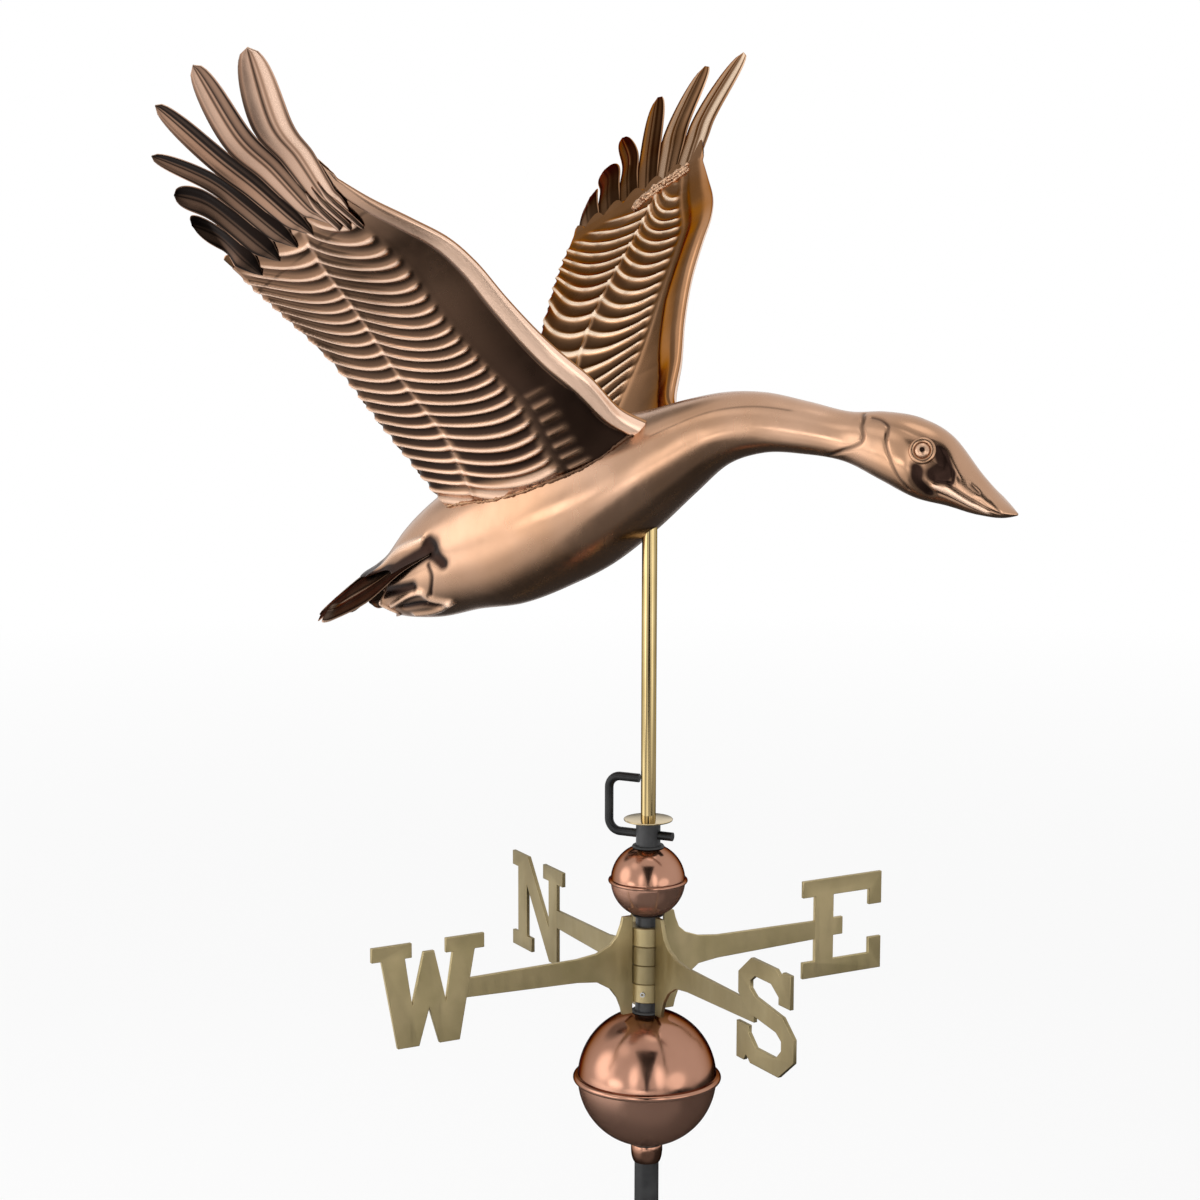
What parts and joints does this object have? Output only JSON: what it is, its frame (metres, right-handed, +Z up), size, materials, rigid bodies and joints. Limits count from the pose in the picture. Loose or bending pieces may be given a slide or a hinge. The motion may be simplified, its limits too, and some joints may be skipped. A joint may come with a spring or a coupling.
{
  "type": "weather vane",
  "caption": "Weather vane: a copper goose in flight on a brass tube that turns on a black rod above copper globes and lettered brass compass arms.",
  "frame": {"origin": "centre of the rod's lower end face", "axes": "+Z up along the rod and the swivel axis, +X towards the goose's beak, +Y towards its left wing"},
  "size_m": [0.7619, 0.911, 1.3289],
  "materials": {
    "body_copper": "polished copper sheet",
    "wing_copper": "polished copper sheet with dark hollows",
    "tail_copper": "dark copper sheet",
    "globe_copper": "polished copper",
    "arm_brass": "satin cast brass",
    "tube_brass": "polished brass",
    "inner_brass": "plain brass",
    "black_steel": "satin black",
    "screw_steel": "plain steel",
    "grommet_rubber": "matt black rubber",
    "ball_steel": "polished bearing steel"
  },
  "bodies": {
    "mast": {"main_rod": "black_steel", "stop_collar": "globe_copper", "stop_collar_screw": "screw_steel", "large_ball_lower": "globe_copper", "large_ball_upper": "globe_copper", "large_ball_grommets": "grommet_rubber", "small_ball_lower": "globe_copper", "small_ball_upper": "globe_copper", "small_ball_grommets": "grommet_rubber"},
    "hook": {"hook": "black_steel"},
    "compass": {"arm_north": "arm_brass", "arm_east": "arm_brass", "arm_south": "arm_brass", "arm_west": "arm_brass", "arm_screws": "screw_steel"},
    "thrust": {"thrust_ball": "ball_steel"},
    "figure": {"bearing_plug": "inner_brass", "tube_bush": "inner_brass", "swivel_tube": "tube_brass", "lift_disc": "tube_brass", "lower_plate": "inner_brass", "upper_plate": "inner_brass", "body_left": "body_copper", "body_right": "body_copper", "wing_left_upper": "wing_copper", "wing_left_lower": "wing_copper", "wing_left_primaries": "wing_copper", "wing_right_upper": "wing_copper", "wing_right_lower": "wing_copper", "wing_right_primaries": "wing_copper", "tail_fan": "tail_copper", "eye_beads": "body_copper"}
  },
  "joints": [
    {"name": "figure_spin", "type": "hinge", "parent": "mast", "child": "thrust", "pos_m": [0, 0, 0.92482], "axis": [0, 0, 1], "continuous": true},
    {"name": "figure_lift", "type": "slide", "parent": "thrust", "child": "figure", "axis": [0, 0, 1], "range_m": [0, 0.0345]},
    {"name": "hook_swing", "type": "hinge", "parent": "mast", "child": "hook", "pos_m": [0, 0, 0.57612], "axis": [0.9962, 0.0872, 0], "range_deg": [-90, 90]},
    {"name": "compass_turn", "type": "hinge", "parent": "mast", "child": "compass", "pos_m": [0, 0, 0.44741], "axis": [0, 0, 1], "range_deg": [-180, 180]}
  ]
}
